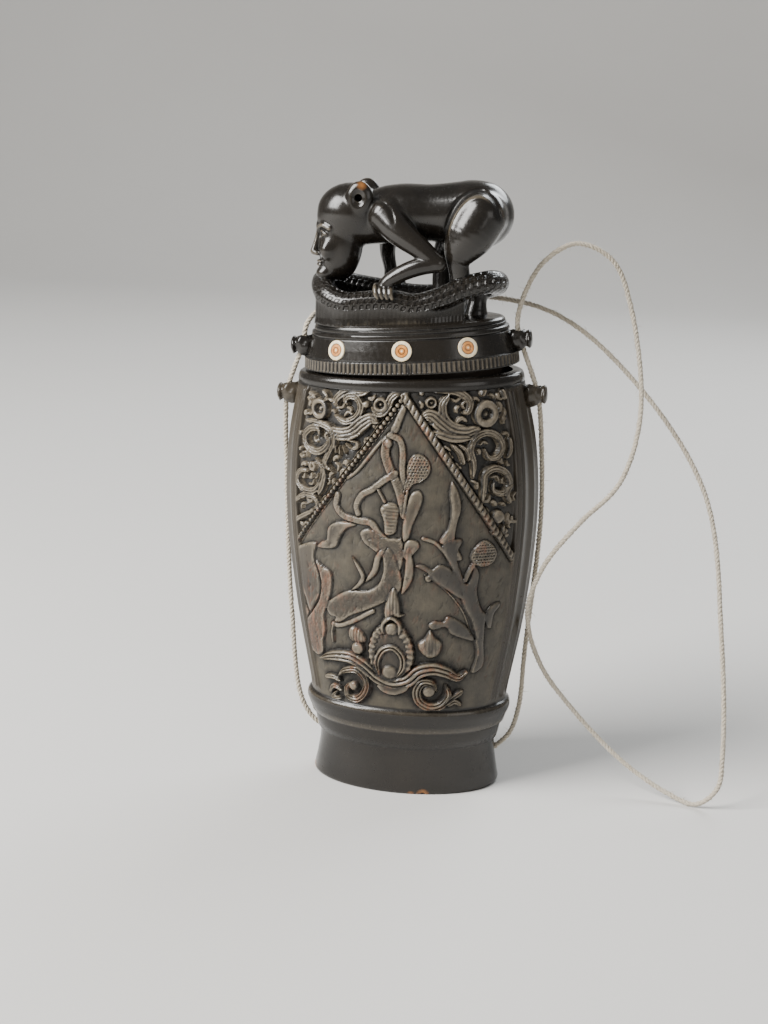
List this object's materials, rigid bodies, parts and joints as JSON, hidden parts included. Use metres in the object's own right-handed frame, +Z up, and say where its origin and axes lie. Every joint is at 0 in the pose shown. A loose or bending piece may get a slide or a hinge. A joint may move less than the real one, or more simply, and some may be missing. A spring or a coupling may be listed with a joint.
{
  "type": "horn flask",
  "caption": "Carved horn flask with an oval body, a lift-off lid carved as a crouching figure on a ringed snake, round bone inlays and a twine cord.",
  "frame": {"origin": "on the table, under the middle of the flask without its cord", "axes": "+Z up along the flask, +X along the wide side of the oval to the viewer's right, -Y out of the carved front that the picture shows"},
  "size_m": [0.1161, 0.0419, 0.1506],
  "materials": {
    "horn": "near-black buffalo horn, polished on the high places",
    "bone": "polished cream bone with amber centres",
    "twine": "twisted undyed twine, slightly fuzzy"
  },
  "bodies": {
    "root": {"body": "horn", "lid": "horn", "inlay_front_left": "bone", "inlay_front_middle": "bone", "inlay_front_right": "bone", "inlay_back_left": "bone", "inlay_back_middle": "bone", "inlay_back_right": "bone", "cord": "twine", "cord_foot_run": "twine"}
  },
  "joints": []
}
